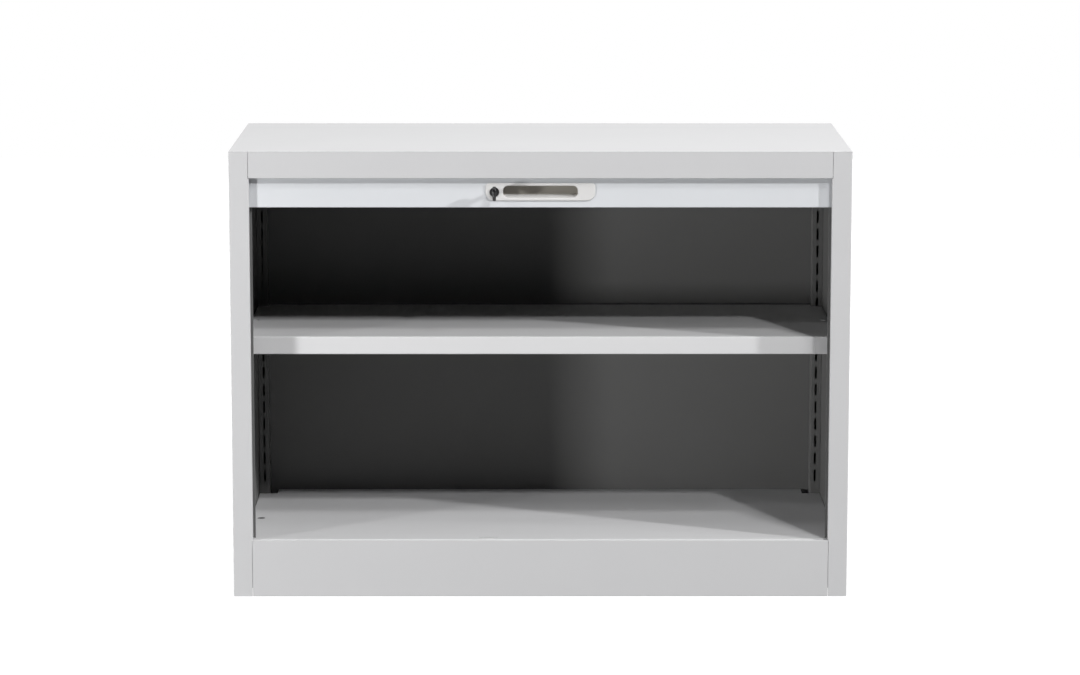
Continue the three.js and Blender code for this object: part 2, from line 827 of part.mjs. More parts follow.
const slots_below_clip_count = 9;
const clip_rise = 6.3;
const shelf_setback = 56;
const shelf_rear_gap = 15;
const shelf_front_height = 29;
const shelf_side_height = 28.4;
const shelf_return = 12;
const shelf_play = 1;
const shelf_clearance = 2;
const shelf_hole_radius = 5;
const shelf_hole_inset = 9.4;
const clip_slot_bottom = slot_start + slots_below_clip_count * slot_step;
const clip_top = clip_slot_bottom + clip_rise;
const shelf_bottom = clip_top + seat_gap;
const shelf_top = shelf_bottom + shelf_front_height;
const shelf_x = bay_x - shelf_play;
const shelf_y = [shelf_setback, inner_back_y - shelf_rear_gap];
const shelf_notch_x = upright_x[0] - shelf_clearance;
const shelf_notch_y = rear_upright_y[0] - shelf_clearance;
const shelf_sheet_z = [shelf_top - sheet, shelf_top];
const shelf_middle_y = (shelf_y[0] + shelf_y[1]) / 2;

const shelf_section = outline([
  [shelf_y[0], shelf_bottom],
  [shelf_y[0] + shelf_return, shelf_bottom],
  [shelf_y[0] + shelf_return, shelf_bottom + sheet],
  [shelf_y[0] + sheet, shelf_bottom + sheet],
  [shelf_y[0] + sheet, shelf_sheet_z[0]],
  [shelf_y[1] - sheet, shelf_sheet_z[0]],
  [shelf_y[1] - sheet, shelf_bottom + sheet],
  [shelf_y[1] - shelf_return, shelf_bottom + sheet],
  [shelf_y[1] - shelf_return, shelf_bottom],
  [shelf_y[1], shelf_bottom],
  [shelf_y[1], shelf_top],
  [shelf_y[0], shelf_top],
]);
const shelf_cheek = (sign) =>
  slab(
    mirrored(sign, [shelf_x - seat_gap - sheet, shelf_x - seat_gap]),
    grown(shelf_y, -sheet / 2),
    [shelf_top - shelf_side_height, shelf_top - sheet / 2],
  );
const shelf_solid = join(run_x(shelf_section, both(shelf_x)), shelf_cheek(-1), shelf_cheek(1));
const shelf_notch = (sign) =>
  slab(
    mirrored(sign, [shelf_notch_x, bay_x + overrun]),
    [shelf_notch_y, shelf_y[1] + overrun],
    [shelf_bottom - overrun, shelf_top + overrun],
  );
const shelf = cut(
  shelf_solid,
  shelf_notch(-1),
  shelf_notch(1),
  ...sides.map(([, sign]) =>
    rod_z(
      shelf_hole_radius,
      sign * (bay_x - shelf_hole_inset),
      shelf_middle_y,
      grown(shelf_sheet_z, overrun),
    ),
  ),
);
piece("shelf", paint(), shelf);

const stiffener_inset = 13;
const stiffener_flat = 30;
const stiffener_foot = 12;
const stiffener_drop = 20;
const stiffener_x = shelf_x - stiffener_inset;
const stiffener_top = shelf_sheet_z[0] - seat_gap;
const stiffener_bottom = stiffener_top - stiffener_drop;
const stiffener_shape = outline([
  [-stiffener_flat / 2, stiffener_bottom],
  [stiffener_flat / 2, stiffener_bottom],
  [stiffener_flat / 2, stiffener_top - sheet],
  [stiffener_flat / 2 + stiffener_foot, stiffener_top - sheet],
  [stiffener_flat / 2 + stiffener_foot, stiffener_top],
  [stiffener_flat / 2 - sheet, stiffener_top],
  [stiffener_flat / 2 - sheet, stiffener_bottom + sheet],
  [sheet - stiffener_flat / 2, stiffener_bottom + sheet],
  [sheet - stiffener_flat / 2, stiffener_top],
  [-stiffener_flat / 2 - stiffener_foot, stiffener_top],
  [-stiffener_flat / 2 - stiffener_foot, stiffener_top - sheet],
  [-stiffener_flat / 2, stiffener_top - sheet],
].map(([y, z]) => [shelf_middle_y + y, z]));
piece("shelf_stiffener", paint(), run_x(stiffener_shape, both(stiffener_x)));

const clip_under_shelf = 10;
const front_clip_length = shelf_y[0] + clip_under_shelf - front_upright_y[1];
const rear_clip_length = shelf_clearance + clip_under_shelf;
const clip_height = 11;
const clip_side = 4;
const clip_hook = 2;
const clip_hook_drop = 5;
const clip_tongue = 5;
const clip_bottom = clip_top - clip_height;
const clip_x = [slot_x[0] - clip_side, bay_x - seat_gap];
const tongue_x = grown(slot_x, -seat_gap);
const tongue_z = [clip_slot_bottom + seat_gap, clip_slot_bottom + seat_gap + clip_tongue];

for (const [side, sign] of sides) {
  for (const [end, web_face, towards, clip_block] of [
    ["front", front_upright_y[1], 1, front_clip_length],
    ["rear", rear_upright_y[0], -1, rear_clip_length],
  ]) {
    const along = (a, b) => [web_face + towards * a, web_face + towards * b];
    const hook_back = along(-upright_sheet - seat_gap - clip_hook, 0)[0];
    const hook_face = along(-upright_sheet - seat_gap, 0)[0];
    const buried = along(rear_clip_length / 2, 0)[0];
    const tongue = outline([
      [hook_back, tongue_z[0] - clip_hook_drop],
      [hook_face, tongue_z[0] - clip_hook_drop],
      [hook_face, tongue_z[0]],
      [buried, tongue_z[0]],
      [buried, tongue_z[1]],
      [hook_back, tongue_z[1]],
    ]);
    const clip = join(
      slab(
        mirrored(sign, clip_x),
        along(seat_gap, clip_block),
        [clip_bottom, clip_top],
      ),
      run_x(tongue, mirrored(sign, tongue_x)),
    );
    piece(`shelf_clip_${end}_${side}`, zinc(), clip);
  }
}

// Levelling feet: a bracket on the liner with a boss, and a foot on a threaded stem

const foot_inset = 39;
const foot_front_setback = 40;
const foot_rear_setback = 80;
const bracket_sheet = 2;
const bracket_z = 24;
const bracket_half = 20;
const bracket_reach = 18;
const bracket_headroom = 6;
const boss_radius = 8;
const boss_height = 14;
const stem_radius = 5;
const stem_top = 62;
const pad_radius = 18;
const pad_lift = 1.5;
const pad_thickness = 7;
const pad_hub_radius = 8;
const pad_hub_top = 13;
const stem_foot = 5;
const foot_x = bay_x - foot_inset;
const bracket_top = deck_under - bracket_headroom;
const pad_z = [pad_lift, pad_lift + pad_thickness];
const foot_places = [["front", foot_front_setback], ["rear", depth - foot_rear_setback]];

for (const [side, sign] of sides) {
  for (const [end, y] of foot_places) {
    const x = sign * foot_x;
    const angle = mirrored_outline(sign, [
      [foot_x - bracket_reach, bracket_z],
      [bay_x, bracket_z],
      [bay_x, bracket_top],
      [bay_x - bracket_sheet, bracket_top],
      [bay_x - bracket_sheet, bracket_z + bracket_sheet],
      [foot_x - bracket_reach, bracket_z + bracket_sheet],
    ]);
    const boss_z = [bracket_z + bracket_sheet / 2, bracket_z + boss_height];
    const bracket = cut(
      join(
        run_y(angle, [y - bracket_half, y + bracket_half]),
        rod_z(boss_radius, x, y, boss_z),
      ),
      rod_z(stem_radius + running_play, x, y, [0, stem_top]),
    );
    piece(`foot_bracket_${end}_${side}`, zinc(), bracket);

    const stem = rod_z(stem_radius, x, y, [stem_foot + seat_gap, stem_top]);
    piece(`foot_stem_${end}_${side}`, zinc(), stem);

    const pad = cut(
      join(rod_z(pad_radius, x, y, pad_z), rod_z(pad_hub_radius, x, y, [stem_foot, pad_hub_top])),
      rod_z(stem_radius + seat_gap, x, y, [stem_foot, pad_hub_top + overrun]),
    );
    piece(`foot_pad_${end}_${side}`, black_plastic(), pad);
  }
}

cabinet.position.y = -(depth - key_reach) / 2;

export default cabinet;
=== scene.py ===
import json
import math

import bmesh
import bpy
from mathutils import Matrix, Vector


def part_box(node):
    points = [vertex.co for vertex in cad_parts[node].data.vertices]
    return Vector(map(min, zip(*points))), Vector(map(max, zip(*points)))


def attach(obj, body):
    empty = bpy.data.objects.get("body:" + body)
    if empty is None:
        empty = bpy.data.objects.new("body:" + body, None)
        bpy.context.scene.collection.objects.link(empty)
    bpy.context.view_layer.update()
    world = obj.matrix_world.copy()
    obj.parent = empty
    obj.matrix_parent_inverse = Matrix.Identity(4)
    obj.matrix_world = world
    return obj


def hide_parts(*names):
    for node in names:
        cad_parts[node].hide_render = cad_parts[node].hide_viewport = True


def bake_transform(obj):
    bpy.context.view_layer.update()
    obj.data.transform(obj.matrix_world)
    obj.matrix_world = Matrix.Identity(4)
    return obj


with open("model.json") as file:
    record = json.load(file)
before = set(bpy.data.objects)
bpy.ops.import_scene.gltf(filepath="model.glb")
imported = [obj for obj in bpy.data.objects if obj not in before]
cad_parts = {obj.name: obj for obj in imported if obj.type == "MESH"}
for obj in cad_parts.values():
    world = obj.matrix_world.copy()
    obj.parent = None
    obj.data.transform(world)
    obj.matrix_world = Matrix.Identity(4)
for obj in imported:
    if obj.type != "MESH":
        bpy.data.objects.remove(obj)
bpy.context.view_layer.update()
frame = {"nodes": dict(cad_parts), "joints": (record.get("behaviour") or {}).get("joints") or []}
nodes = frame["nodes"]

# Side walls, left and right
# Each is an outer sheet of 1 mm steel, folded round the front into the jamb and round the back,
# with an inner sheet spot welded into it. The outer one has a light grey powder coat with a fine
# grain, and the inner one a darker, matt one, whose dark grey is painted shade for the bay's
# inside.

MM = 0.001
SHEET = 1 * MM
WIDEST_CUT = 1.6 * SHEET
FOLD_OUTSIDE = 1.3 * MM
FOLD_INSIDE = 0.5 * MM
CUT_EDGE = 0.25 * MM
OUTSIDE_STEPS = 3
INSIDE_STEPS = 2
CUT_STEPS = 1
QUARTER_CIRCLE = 0.5
SAME_POINT = 0.002 * MM
SAME_LEVEL = 0.01 * MM
SIDES = ("left", "right")

# angles between two faces, in radians: below the first they are one flat face, above the second
# their edge is rounded, and above the third it stays a crease in the shading
FLAT_TURN = math.radians(2)
FOLD_TURN = 0.6
CREASE_TURN = math.radians(35)

COAT = (0.617, 0.617, 0.625)
COAT_SHADE = (0.592, 0.592, 0.60)
COAT_ROUGH = 0.46
COAT_GRAIN = 1100.0
COAT_GRAIN_HEIGHT = 0.04 * MM
# painted shade: the bay's dark grey stands in for the deep shade inside the walls, the ceiling and
# the uprights
BAY_PAINTED_SHADE = (0.17, 0.17, 0.168)
BAY_PAINTED_SHADE_DRIFT = (0.152, 0.152, 0.15)
BAY_ROUGH = 0.55
MATT = 0.1
USUAL_SHINE = 0.5
GLOSS_SPREAD = 0.06
GRAIN_STRENGTH = 0.6
DRIFT_NOISE = {"Scale": 7.0, "Detail": 3.0, "Roughness": 0.6}
GRAIN_NOISE = {"Detail": 2.0, "Roughness": 0.5}

# the sockets of a colour mix
MIX_FIRST = 6
MIX_SECOND = 7
MIX_RESULT = 2


def nodes_of(material):
    """The node tree of a material, its Principled shader and a maker of further nodes."""
    material.use_nodes = True
    tree = material.node_tree
    shader = tree.nodes["Principled BSDF"]

    def add(kind, **settings):
        made = tree.nodes.new(kind)
        for key, value in settings.items():
            if hasattr(made, key):
                setattr(made, key, value)
            else:
                made.inputs[key].default_value = value
        return made

    return tree, shader, add


def grained(name, light, dark, rough, grain, height, metal=0.0, shine=USUAL_SHINE):
    """A finish with a fine grain, and a colour and gloss that drift slightly over the surface."""
    material = bpy.data.materials.new(name)
    tree, shader, add = nodes_of(material)
    place = add("ShaderNodeTexCoord")
    drift = add("ShaderNodeTexNoise", **DRIFT_NOISE)
    grains = add("ShaderNodeTexNoise", Scale=grain, **GRAIN_NOISE)
    tint = add("ShaderNodeMix", data_type="RGBA")
    tint.inputs[MIX_FIRST].default_value = (*dark, 1)
    tint.inputs[MIX_SECOND].default_value = (*light, 1)
    gloss = add("ShaderNodeMapRange")
    gloss.inputs["To Min"].default_value = rough - GLOSS_SPREAD
    gloss.inputs["To Max"].default_value = rough + GLOSS_SPREAD
    bump = add("ShaderNodeBump", Strength=GRAIN_STRENGTH, Distance=height)
    link = tree.links.new
    link(place.outputs["Object"], drift.inputs["Vector"])
    link(place.outputs["Object"], grains.inputs["Vector"])
    link(drift.outputs["Fac"], tint.inputs["Factor"])
    link(tint.outputs[MIX_RESULT], shader.inputs["Base Color"])
    link(grains.outputs["Fac"], gloss.inputs["Value"])
    link(gloss.outputs["Result"], shader.inputs["Roughness"])
    link(grains.outputs["Fac"], bump.inputs["Height"])
    link(bump.outputs["Normal"], shader.inputs["Normal"])
    shader.inputs["Metallic"].default_value = metal
    shader.inputs["Specular IOR Level"].default_value = shine
    return material


powder_coat = grained(
    "powder_coat", COAT, COAT_SHADE, rough=COAT_ROUGH, grain=COAT_GRAIN, height=COAT_GRAIN_HEIGHT
)
bay_painted_shade = grained(
    "bay_painted_shade",
    BAY_PAINTED_SHADE,
    BAY_PAINTED_SHADE_DRIFT,
    rough=BAY_ROUGH,
    grain=COAT_GRAIN,
    height=COAT_GRAIN_HEIGHT,
    shine=MATT,
)


def settle(obj, body, material):
    """Gives a piece its finish and its place among the moving bodies."""
    obj.data.materials.clear()
    obj.data.materials.append(material)
    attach(obj, body)
    return obj


def even_faces(obj):
    """Keeps the wide faces flat and lets only the folds between them turn smoothly."""
    obj.data.shade_smooth()
    obj.data.set_sharp_from_angle(angle=CREASE_TURN)
    weighted = obj.modifiers.new("even_faces", "WEIGHTED_NORMAL")
    weighted.keep_sharp = True
    bpy.context.view_layer.update()
    graph = bpy.context.evaluated_depsgraph_get()
    evened = bpy.data.meshes.new_from_object(
        obj.evaluated_get(graph), preserve_all_data_layers=True, depsgraph=graph
    )
    obj.modifiers.clear()
    obj.data = evened


def loose_object(name, mesh):
    """A new object from a bmesh, which is used up."""
    data = bpy.data.meshes.new(name)
    mesh.to_mesh(data)
    mesh.free()
    obj = bpy.data.objects.new(name, data)
    bpy.context.scene.collection.objects.link(obj)
    return obj


def new_piece(name, mesh, body, material):
    """A new piece from a bmesh, with even faces and crisp folds."""
    obj = loose_object(name, mesh)
    even_faces(obj)
    return settle(obj, body, material)


def cut_face(face):
    """True for the cut edge of a sheet, a strip about as wide as the sheet is thick."""
    around = sum(edge.calc_length() for edge in face.edges)
    return 2 * face.calc_area() < WIDEST_CUT * around


def fold_edges(mesh, outside, inside, cut):
    """Rounds the folds of a bent sheet and breaks its cut edges."""
    bmesh.ops.remove_doubles(mesh, verts=mesh.verts, dist=SAME_POINT)
    bmesh.ops.dissolve_limit(mesh, angle_limit=FLAT_TURN, verts=mesh.verts, edges=mesh.edges)
    sharp = [e for e in mesh.edges if len(e.link_faces) == 2 and e.calc_face_angle(0) > FOLD_TURN]
    # edges with the same width are rounded together
    groups = {outside: [], inside: [], cut: []}
    for edge in sharp:
        if any(cut_face(face) for face in edge.link_faces):
            groups[cut].append(edge)
        elif edge.is_convex:
            groups[outside].append(edge)
        else:
            groups[inside].append(edge)
    for width, steps in ((outside, OUTSIDE_STEPS), (inside, INSIDE_STEPS), (cut, CUT_STEPS)):
        edges = [e for e in groups[width] if e.is_valid]
        if edges and width:
            bmesh.ops.bevel(
                mesh,
                geom=edges,
                offset=width,
                offset_type="OFFSET",
                segments=steps,
                profile=QUARTER_CIRCLE,
                affect="EDGES",
                clamp_overlap=True,
            )


def folded(
    node,
    body,
    material,
    raise_to=None,
    ends_in=0.0,
    widths=(FOLD_OUTSIDE, FOLD_INSIDE, CUT_EDGE),
):
    """A node's sheet again, with its folds rounded and its edges broken.

    raise_to lifts its top edge to a height, and ends_in draws both ends of its front face in.
    """
    mesh = bmesh.new()
    mesh.from_mesh(nodes[node].data)
    if raise_to is not None:
        top = max(v.co.z for v in mesh.verts)
        for vert in mesh.verts:
            if vert.co.z > top - SAME_LEVEL:
                vert.co.z = raise_to
    if ends_in:
        front = min(v.co.y for v in mesh.verts)
        end = max(v.co.x for v in mesh.verts if v.co.y < front + SHEET / 4)
        for vert in mesh.verts:
            if abs(abs(vert.co.x) - end) < SAME_LEVEL:
                vert.co.x -= math.copysign(ends_in, vert.co.x)
    fold_edges(mesh, *widths)
    obj = new_piece(node + "_folded", mesh, body, material)
    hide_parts(node)
    return obj


TOP_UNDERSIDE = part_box("top_panel")[1].z - SHEET
for side in SIDES:
    folded(f"side_panel_{side}", "carcase", powder_coat, raise_to=TOP_UNDERSIDE)
    folded(f"side_liner_{side}", "carcase", bay_painted_shade)

# Top panel
# One sheet over the whole outline, its rim turned down inside the walls and welded to them, so
# that no joint shows between it and the fronts.

folded("top_panel", "carcase", powder_coat)

# Header and plinths
# Folded sheets between the jambs. The header closes the front over the shutter, and the plinth's
# upper edge is folded back on itself, with a narrow channel behind it.

SEAM = 0.35 * MM
folded(
    "header_panel", "carcase", powder_coat, raise_to=TOP_UNDERSIDE, ends_in=SEAM
)
folded("plinth_front", "carcase", powder_coat, ends_in=SEAM)
folded("plinth_rear", "carcase", powder_coat)

# Backs and ceiling
# Flat sheets. The shutter's slats run down between the two backs and over the ceiling. The outer
# back is held to the folds of the walls by blind rivets of zinc plated steel. The inner back and
# the ceiling are painted dark grey as painted shade for the deep shade inside the bay.

# painted shade: the inner back's near black grey stands in for the deep shade at the back of the
# bay
BACK_PAINTED_SHADE = (0.175, 0.175, 0.172)
BACK_PAINTED_SHADE_DRIFT = (0.16, 0.16, 0.158)
back_painted_shade = grained(
    "back_painted_shade",
    BACK_PAINTED_SHADE,
    BACK_PAINTED_SHADE_DRIFT,
    rough=0.6,
    grain=COAT_GRAIN,
    height=COAT_GRAIN_HEIGHT,
    shine=MATT,
)
folded("back_panel", "carcase", powder_coat)
folded("inner_back_panel", "carcase", back_painted_shade)
# painted shade: the ceiling liner has the bay's dark grey
folded("top_liner", "carcase", bay_painted_shade)

ZINC = (0.50, 0.51, 0.52)
ZINC_SHADE = (0.42, 0.43, 0.45)
METAL = 0.9
zinc = grained(
    "zinc_plate", ZINC, ZINC_SHADE, rough=0.36, grain=420.0, height=0.02 * MM, metal=METAL
)
TO_BACK = (0, 1, 0)
ROUND_STEPS = 48


def turned(name, profile, centre, axis, body, material, steps=ROUND_STEPS):
    """A round piece: its profile is a list of (radius, place along the axis), turned about it."""
    mesh = bmesh.new()
    along = Vector(axis).normalized()
    across = along.orthogonal().normalized()
    other = along.cross(across)
    rings = []
    for radius, place in profile:
        middle = Vector(centre) + along * place
        if radius == 0:
            rings.append([mesh.verts.new(middle)])
            continue
        ring = []
        for k in range(steps):
            turn = 2 * math.pi * k / steps
            out = across * math.cos(turn) + other * math.sin(turn)
            ring.append(mesh.verts.new(middle + out * radius))
        rings.append(ring)
    pairs = list(zip(rings, rings[1:]))
    if profile[0][0] > 0:
        pairs.append((rings[-1], rings[0]))
    for low, high in pairs:
        for k in range(steps):
            n = (k + 1) % steps
            if len(low) == 1:
                mesh.faces.new((low[0], high[n], high[k]))
            elif len(high) == 1:
                mesh.faces.new((low[k], low[n], high[0]))
            else:
                mesh.faces.new((low[k], low[n], high[n], high[k]))
    bmesh.ops.recalc_face_normals(mesh, faces=mesh.faces)
    return new_piece(name, mesh, body, material)


RIVET_INSET = 15 * MM
RIVETS_UP = 5
RIVETS_ACROSS = 6
RIVET_STEPS = 18
RIVET_RADIUS = 3.1 * MM
RIVET_HEIGHT = 1.1 * MM
DOME_RADIUS = 2.6 * MM
DOME_HEIGHT = 0.8 * MM
RIM_RADIUS = 1.6 * MM
GROOVE_RADIUS = 1.2 * MM
GROOVE_HEIGHT = 0.6 * MM
PIN_RADIUS = 1 * MM
RIVET_HEAD = (
    (0, RIVET_HEIGHT),
    (PIN_RADIUS, RIVET_HEIGHT),
    (GROOVE_RADIUS, GROOVE_HEIGHT),
    (RIM_RADIUS, RIVET_HEIGHT),
    (DOME_RADIUS, DOME_HEIGHT),
    (RIVET_RADIUS, 0),
    (0, 0),
)
low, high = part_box("back_panel")
low_x, high_x = low.x + RIVET_INSET, high.x - RIVET_INSET
low_z, high_z = low.z + RIVET_INSET, high.z - RIVET_INSET
places = []
for k in range(RIVETS_UP):
    z = low_z + (high_z - low_z) * k / (RIVETS_UP - 1)
    places += [(low_x, z), (high_x, z)]
for k in range(1, RIVETS_ACROSS - 1):
    x = low_x + (high_x - low_x) * k / (RIVETS_ACROSS - 1)
    places += [(x, low_z), (x, high_z)]
for k, (x, z) in enumerate(places):
    turned(
        f"back_rivet_{k + 1}",
        RIVET_HEAD,
        (x, high.y, z),
        TO_BACK,
        "carcase",
        zinc,
        steps=RIVET_STEPS,
    )

# Deck
# The floor of the bay, a tray turned down all round. A plastic plug closes its round hole, and the
# lock's hook goes through its slot into the zinc plated strike plate.

# painted light: the deck and shelf have a lighter copy of the powder coat, standing in for the
# light that falls on their upward faces
TRAY_PAINTED_LIGHT = (0.725, 0.725, 0.733)
TRAY_PAINTED_LIGHT_DRIFT = (0.70, 0.70, 0.707)
tray_painted_light = grained(
    "tray_painted_light",
    TRAY_PAINTED_LIGHT,
    TRAY_PAINTED_LIGHT_DRIFT,
    rough=COAT_ROUGH,
    grain=COAT_GRAIN,
    height=COAT_GRAIN_HEIGHT,
)
folded("deck", "carcase", tray_painted_light)

PLUG_BLACK = (0.07, 0.07, 0.07)
PLUG_BLACK_SHADE = (0.05, 0.05, 0.05)
plug_plastic = grained(
    "plug_plastic", PLUG_BLACK, PLUG_BLACK_SHADE, rough=0.5, grain=1600.0, height=0.03 * MM
)
folded("lock_strike", "carcase", zinc)

COLLAR_HEIGHT = 1.5 * MM
COLLAR_EDGE = 0.4 * MM
COLLAR_UPPER_EDGE = 0.2 * MM
PLUG_RADIUS = 6.7 * MM
PLUG_EDGE = 0.5 * MM
PLUG_RIM = 1.8 * MM
PLUG_RIM_SLOPE = 0.4 * MM
PLUG_DISH = 0.6 * MM
UPWARDS = (0, 0, 1)
low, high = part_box("deck_plug")
middle = (low + high) / 2
collar_radius = (high.x - low.x) / 2
plug_height = high.z - low.z
plug = turned(
    "deck_plug_moulding",
    [
        (0, 0),
        (collar_radius - COLLAR_EDGE, 0),
        (collar_radius, COLLAR_EDGE),
        (collar_radius, COLLAR_HEIGHT - COLLAR_UPPER_EDGE),
        (collar_radius - COLLAR_EDGE, COLLAR_HEIGHT),
        (PLUG_RADIUS, COLLAR_HEIGHT),
        (PLUG_RADIUS, plug_height - PLUG_EDGE),
        (PLUG_RADIUS - PLUG_EDGE, plug_height),
        (PLUG_RADIUS - PLUG_RIM, plug_height),
        (PLUG_RADIUS - PLUG_RIM - PLUG_RIM_SLOPE, plug_height - PLUG_EDGE),
        (0, plug_height - PLUG_DISH),
    ],
    (middle.x, middle.y, low.z),
    UPWARDS,
    "carcase",
    plug_plastic,
)
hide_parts("deck_plug")

# Slotted uprights
# Steel channels in the four corners, with a row of slots for the shelf clips, painted dark grey
# like the inside of the walls; that dark grey is painted shade for the deep shade in the bay.

ENDS = ("front", "rear")
UPRIGHT_FOLDS = (1.2 * MM, 0.4 * MM, 0)
for end in ENDS:
    for side in SIDES:
        folded(
            f"slotted_upright_{end}_{side}",
            "carcase",
            bay_painted_shade,
            widths=UPRIGHT_FOLDS,
        )

# Tracks
# Grey plastic channels in five lengths on each side, fixed inside the walls, in which the ends of
# the slats run. They are given a dark grey as painted shade for the shade inside the walls.

# painted shade: the tracks' dark grey stands in for the shade inside the walls
TRACK_PAINTED_SHADE = (0.17, 0.17, 0.17)
TRACK_PAINTED_SHADE_DRIFT = (0.15, 0.15, 0.15)
TRACK_FOLDS = (0.5 * MM, 0.4 * MM, 0.2 * MM)
track_painted_shade = grained(
    "track_plastic", TRACK_PAINTED_SHADE, TRACK_PAINTED_SHADE_DRIFT, rough=0.5, grain=1500.0, height=0.02 * MM
)
for kind in ("front_track", "front_corner_track", "top_track", "rear_corner_track", "rear_track"):
    for side in SIDES:
        folded(f"{kind}_{side}", "carcase", track_painted_shade, widths=TRACK_FOLDS)

# Shutter curtain
# Plastic slats joined by thin hinges. Open, nearly all of them lie over the ceiling and down the
# back. The front stretch is gathered behind the header, drawn in its rest shape.

SHUTTER_WHITE = (0.66, 0.68, 0.71)
SHUTTER_WHITE_SHADE = (0.63, 0.65, 0.68)
shutter_white = grained(
    "shutter_plastic",
    SHUTTER_WHITE,
    SHUTTER_WHITE_SHADE,
    rough=0.42,
    grain=1300.0,
    height=0.02 * MM,
)
SLAT_PITCH = 18 * MM
SLAT_HALF = 3.5 * MM
BEND = 26 * MM
TRACK_HALF = 6.05 * MM
HIDDEN_TURN = math.radians(50)
low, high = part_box("shutter_curtain")
curtain_bottom = low.z
SLIDE_X = high.x
RUN_FRONT_Y = low.y + SLAT_HALF
RUN_REAR_Y = high.y - SLAT_HALF
RUN_TOP_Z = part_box("front_corner_track_left")[1].z - TRACK_HALF
BEND_Z = RUN_TOP_Z - BEND
FRONT_BEND_Y = RUN_FRONT_Y + BEND
REAR_BEND_Y = RUN_REAR_Y - BEND
TOP_RUN = REAR_BEND_Y - FRONT_BEND_Y

# a slat's two sides, from one hinge to the next, as (share of the pitch, share of the half width)
SLAT_OUTSIDE_SHARES = (
    (0.035, 0.17),
    (0.035, 0.74),
    (0.09, 0.93),
    (0.22, 1.0),
    (0.78, 1.0),
    (0.91, 0.93),
    (0.965, 0.74),
    (0.965, 0.17),
)
SLAT_INSIDE_SHARES = (
    (0.10, 0.17),
    (0.10, 0.86),
    (0.16, 1.0),
    (0.84, 1.0),
    (0.90, 0.86),
    (0.90, 0.17),
)


def slat_outline(hinges):
    """The outline in Y and Z of a row of slats, each between two of the given places."""
    outside, inside = [], []
    for start, end in zip(hinges, hinges[1:]):
        along = end - start
        out = Vector((-along.y, along.x)).normalized()
        for share, lift in SLAT_OUTSIDE_SHARES:
            outside.append(start + along * share + out * SLAT_HALF * lift)
        for share, lift in SLAT_INSIDE_SHARES:
            inside.append(start + along * share - out * SLAT_HALF * lift)
    return outside + inside[::-1]


def extruded(outline, x_low, x_high):
    """A solid from an outline in Y and Z, drawn along X."""
    mesh = bmesh.new()
    left = [mesh.verts.new((x_low, p.x, p.y)) for p in outline]
    right = [mesh.verts.new((x_high, p.x, p.y)) for p in outline]
    count = len(outline)
    for k in range(count):
        n = (k + 1) % count
        mesh.faces.new((left[k], left[n], right[n], right[k]))
    mesh.faces.new(left[::-1])
    mesh.faces.new(right)
    bmesh.ops.triangulate(mesh, faces=[f for f in mesh.faces if len(f.verts) > 4])
    bmesh.ops.recalc_face_normals(mesh, faces=mesh.faces)
    return mesh


def run_place(distance):
    """A place on the run behind the header, by the distance from where the top run starts."""
    if distance < 0:
        turn = math.pi / 2 - distance / BEND
        return Vector((FRONT_BEND_Y + BEND * math.cos(turn), BEND_Z + BEND * math.sin(turn)))
    if distance < TOP_RUN:
        return Vector((FRONT_BEND_Y + distance, RUN_TOP_Z))
    turn = math.pi / 2 - (distance - TOP_RUN) / BEND
    if turn > 0:
        return Vector((REAR_BEND_Y + BEND * math.cos(turn), BEND_Z + BEND * math.sin(turn)))
    return Vector((RUN_REAR_Y, BEND_Z + turn * BEND))


first = -BEND * HIDDEN_TURN
last = TOP_RUN + BEND * math.pi / 2 + (BEND_Z - curtain_bottom)
count = int((last - first) / SLAT_PITCH)
hinges = [run_place(last - (count - k) * SLAT_PITCH) for k in range(count + 1)]
back_run = new_piece(
    "shutter_slats_stored",
    extruded(slat_outline(hinges), -SLIDE_X, SLIDE_X),
    "carcase",
    shutter_white,
)
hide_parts("shutter_curtain")

joint = next(j for j in frame["joints"] if j["name"] == "shutter_slide")
TRAVEL = joint["range_m"][1]
GATHER_RISE = 31 * MM
CURTAIN_RISE = 4 * MM
RAIL_GAP = 0.3 * MM
HALVINGS = 60
GATHER_TOP = BEND_Z + GATHER_RISE
GATHER_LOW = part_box("end_rail")[1].z + RAIL_GAP
CURTAIN_TOP = BEND_Z + CURTAIN_RISE


def gathered(z_closed):
    """Where a place on the closed shutter lies at rest, found by inverting a smooth blend over the
    travel.
    """
    lower, upper = 0.0, 1.0
    for _ in range(HALVINGS):
        share = (lower + upper) / 2
        follow = share * share * (3 - 2 * share)
        z_rest = GATHER_TOP + (GATHER_LOW - GATHER_TOP) * share
        if z_rest - TRAVEL * follow > z_closed:
            lower = share
        else:
            upper = share
    return GATHER_TOP + (GATHER_LOW - GATHER_TOP) * lower


count = math.ceil((CURTAIN_TOP - (GATHER_LOW - TRAVEL)) / SLAT_PITCH)
hinges = [Vector((RUN_FRONT_Y, GATHER_LOW - TRAVEL + k * SLAT_PITCH)) for k in range(count + 1)]
rest_outline = [Vector((p.x, gathered(p.y))) for p in slat_outline(hinges)]
front_run = loose_object("shutter_slats_front", extruded(rest_outline, -SLIDE_X, SLIDE_X))
front_run.data.materials.append(shutter_white)
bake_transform(front_run)
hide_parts("shutter_curtain")

# End rail
# A hollow painted section that closes the shutter and carries the grip and the lock. A black cap
# in each end runs in the track.

